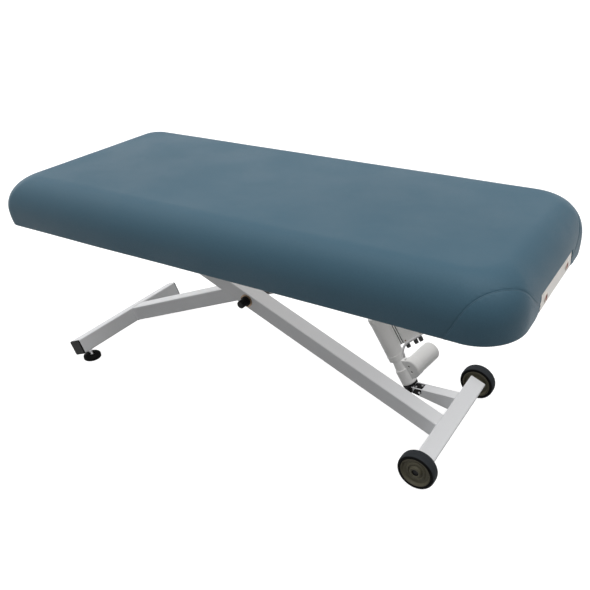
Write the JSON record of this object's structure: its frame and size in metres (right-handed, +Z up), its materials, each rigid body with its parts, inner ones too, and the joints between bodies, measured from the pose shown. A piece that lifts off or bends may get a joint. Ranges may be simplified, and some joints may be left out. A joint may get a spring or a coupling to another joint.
{
  "type": "massage table",
  "caption": "Electric lift massage table: a thick upholstered top on two crossed beams, with feet at one end, wheels at the other and a linear actuator.",
  "frame": {"origin": "on the floor, under the middle of the upholstered top", "axes": "+X points along the top to the head end and the wheels, -Y to the near side, +Z up"},
  "size_m": [1.854, 0.762, 0.8187],
  "materials": {
    "vinyl": "satin, fine grain",
    "rail_wood": "plain planed",
    "plate_wood": "satin lacquer",
    "rim_bronze": "satin reddish brown",
    "frame_paint": "light grey powder coat",
    "bright_steel": "bright zinc",
    "dark_steel": "blackened",
    "bronze": "dull bronze",
    "black_plastic": "satin black",
    "black_rubber": "matt black",
    "roller_plastic": "matt white",
    "tyre_rubber": "charcoal rubber",
    "hub_plastic": "olive brown",
    "casing": "light grey casing",
    "lead": "grey sheath"
  },
  "bodies": {
    "feet": {"foot_pad_near": "black_rubber", "foot_pad_far": "black_rubber"},
    "far_beam_body": {"far_beam": "frame_paint", "pivot_bush": "bronze", "far_beam_upper_bar": "frame_paint", "roller_axles": "bright_steel", "foot_bar": "frame_paint", "foot_bar_plugs": "black_plastic", "levelling_studs": "bright_steel", "levelling_nuts": "bright_steel", "rod_bracket": "frame_paint"},
    "near_beam_body": {"near_beam": "frame_paint", "near_beam_upper_bar": "frame_paint", "hinge_bushes": "bronze", "wheel_bar": "frame_paint", "wheel_bar_plugs": "bright_steel", "axle_bolts": "dark_steel", "actuator_arm": "frame_paint", "arm_pin": "dark_steel", "pivot_bolt": "bright_steel", "pivot_cap": "black_plastic", "pivot_washers": "bronze", "pivot_spacer": "black_plastic"},
    "top": {"upholstery": "vinyl", "deck_board": "rail_wood", "side_rail_near": "rail_wood", "side_rail_far": "rail_wood", "foot_end_rail": "rail_wood", "head_end_rail": "rail_wood", "corner_braces": "rail_wood", "head_plate": "plate_wood", "socket_near": "bright_steel", "socket_far": "bright_steel", "socket_rims": "rim_bronze", "steel_rail_near": "frame_paint", "steel_rail_far": "frame_paint", "steel_crosses": "frame_paint", "hinge_plate_near": "frame_paint", "hinge_plate_far": "frame_paint", "hinge_pins": "bright_steel", "roller_track_near": "frame_paint", "roller_track_far": "frame_paint"},
    "wheel_near": {"tyre_near": "tyre_rubber", "hub_near": "hub_plastic"},
    "wheel_far": {"tyre_far": "tyre_rubber", "hub_far": "hub_plastic"},
    "roller_near_body": {"roller_near": "roller_plastic"},
    "roller_far_body": {"roller_far": "roller_plastic"},
    "actuator": {"actuator_fork": "dark_steel", "actuator_gearbox": "casing", "actuator_motor": "casing", "actuator_spindle": "bright_steel", "actuator_tube": "casing", "actuator_collar": "casing", "tube_end_cap": "casing", "box_mount": "casing", "control_box": "casing", "box_plugs": "black_plastic", "motor_lead": "lead"},
    "rod": {"actuator_rod": "bright_steel"}
  },
  "joints": [
    {"name": "lift", "type": "hinge", "parent": "feet", "child": "far_beam_body", "pos_m": [-0.8682, 0, 0.014], "axis": [0, -1, 0], "range_deg": [-9.8, 1.9]},
    {"name": "centre_pivot", "type": "hinge", "parent": "far_beam_body", "child": "near_beam_body", "pos_m": [-0.134, 0, 0.38088], "axis": [0, -1, 0], "range_deg": [-3.81, 19.43]},
    {"name": "top_hinge", "type": "hinge", "parent": "near_beam_body", "child": "top", "pos_m": [-0.8116, 0, 0.66571], "axis": [0, -1, 0], "range_deg": [-9.63, 1.91]},
    {"name": "actuator_hinge", "type": "hinge", "parent": "near_beam_body", "child": "actuator", "pos_m": [0.43284, 0.096, 0.08294], "axis": [0, -1, 0], "range_deg": [-0.89, 4.38]},
    {"name": "rod_slide", "type": "slide", "parent": "actuator", "child": "rod", "axis": [-0.4898, 0, 0.8718], "range_m": [-0.1127, 0.0221]},
    {"name": "wheel_near_spin", "type": "hinge", "parent": "near_beam_body", "child": "wheel_near", "pos_m": [0.62101, -0.255, 0.0635], "axis": [0, 1, 0], "continuous": true},
    {"name": "wheel_far_spin", "type": "hinge", "parent": "near_beam_body", "child": "wheel_far", "pos_m": [0.62101, 0.255, 0.0635], "axis": [0, 1, 0], "continuous": true},
    {"name": "roller_near_spin", "type": "hinge", "parent": "far_beam_body", "child": "roller_near_body", "pos_m": [0.53641, -0.203, 0.66269], "axis": [0, 1, 0], "continuous": true},
    {"name": "roller_far_spin", "type": "hinge", "parent": "far_beam_body", "child": "roller_far_body", "pos_m": [0.53641, 0.203, 0.66269], "axis": [0, 1, 0], "continuous": true}
  ],
  "couplings": [
    {"joint": "centre_pivot", "follows": "lift", "ratio": -1.978},
    {"joint": "top_hinge", "follows": "lift", "ratio": 0.97803},
    {"joint": "actuator_hinge", "follows": "lift", "ratio": -0.44177},
    {"joint": "rod_slide", "follows": "lift", "m_per_rad": 0.6573}
  ]
}
